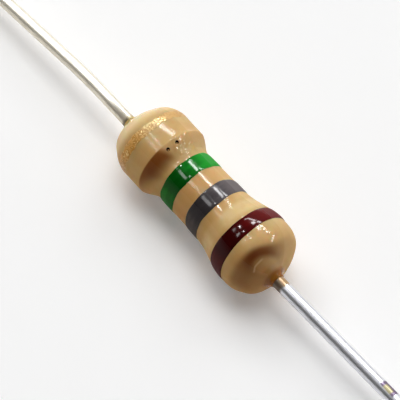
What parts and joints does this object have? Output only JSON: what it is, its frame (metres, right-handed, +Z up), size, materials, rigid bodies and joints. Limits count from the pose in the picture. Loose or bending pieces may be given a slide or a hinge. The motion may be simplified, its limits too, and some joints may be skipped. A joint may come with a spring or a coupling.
{
  "type": "axial resistor",
  "caption": "Small axial through-hole resistor: lacquered dog-bone body with painted colour bands and a tinned wire at each end.",
  "frame": {"origin": "on the surface that the resistor lies on, under the middle of the lacquered body", "axes": "+X along the body to the end with the brown band, +Z up"},
  "size_m": [0.038, 0.0024, 0.0025],
  "materials": {
    "lacquer": "glossy beige dipped lacquer",
    "paint_brown": "glossy dark red-brown paint",
    "paint_grey": "glossy grey paint",
    "paint_green": "glossy green paint",
    "paint_gold": "thin metallic gold paint, worn",
    "tinned_wire": "bright tin plating with fine drawing lines",
    "plated_steel": "satin tin-plated pressed steel",
    "ceramic": "matt white alumina",
    "carbon_film": "grey-black carbon film"
  },
  "bodies": {
    "root": {"ceramic_core": "ceramic", "resistive_film": "carbon_film", "end_cap_near": "plated_steel", "end_cap_far": "plated_steel", "lead_near": "tinned_wire", "lead_far": "tinned_wire", "coating": "lacquer", "band_brown": "paint_brown", "band_grey": "paint_grey", "band_green": "paint_green", "band_gold": "paint_gold"}
  },
  "joints": []
}
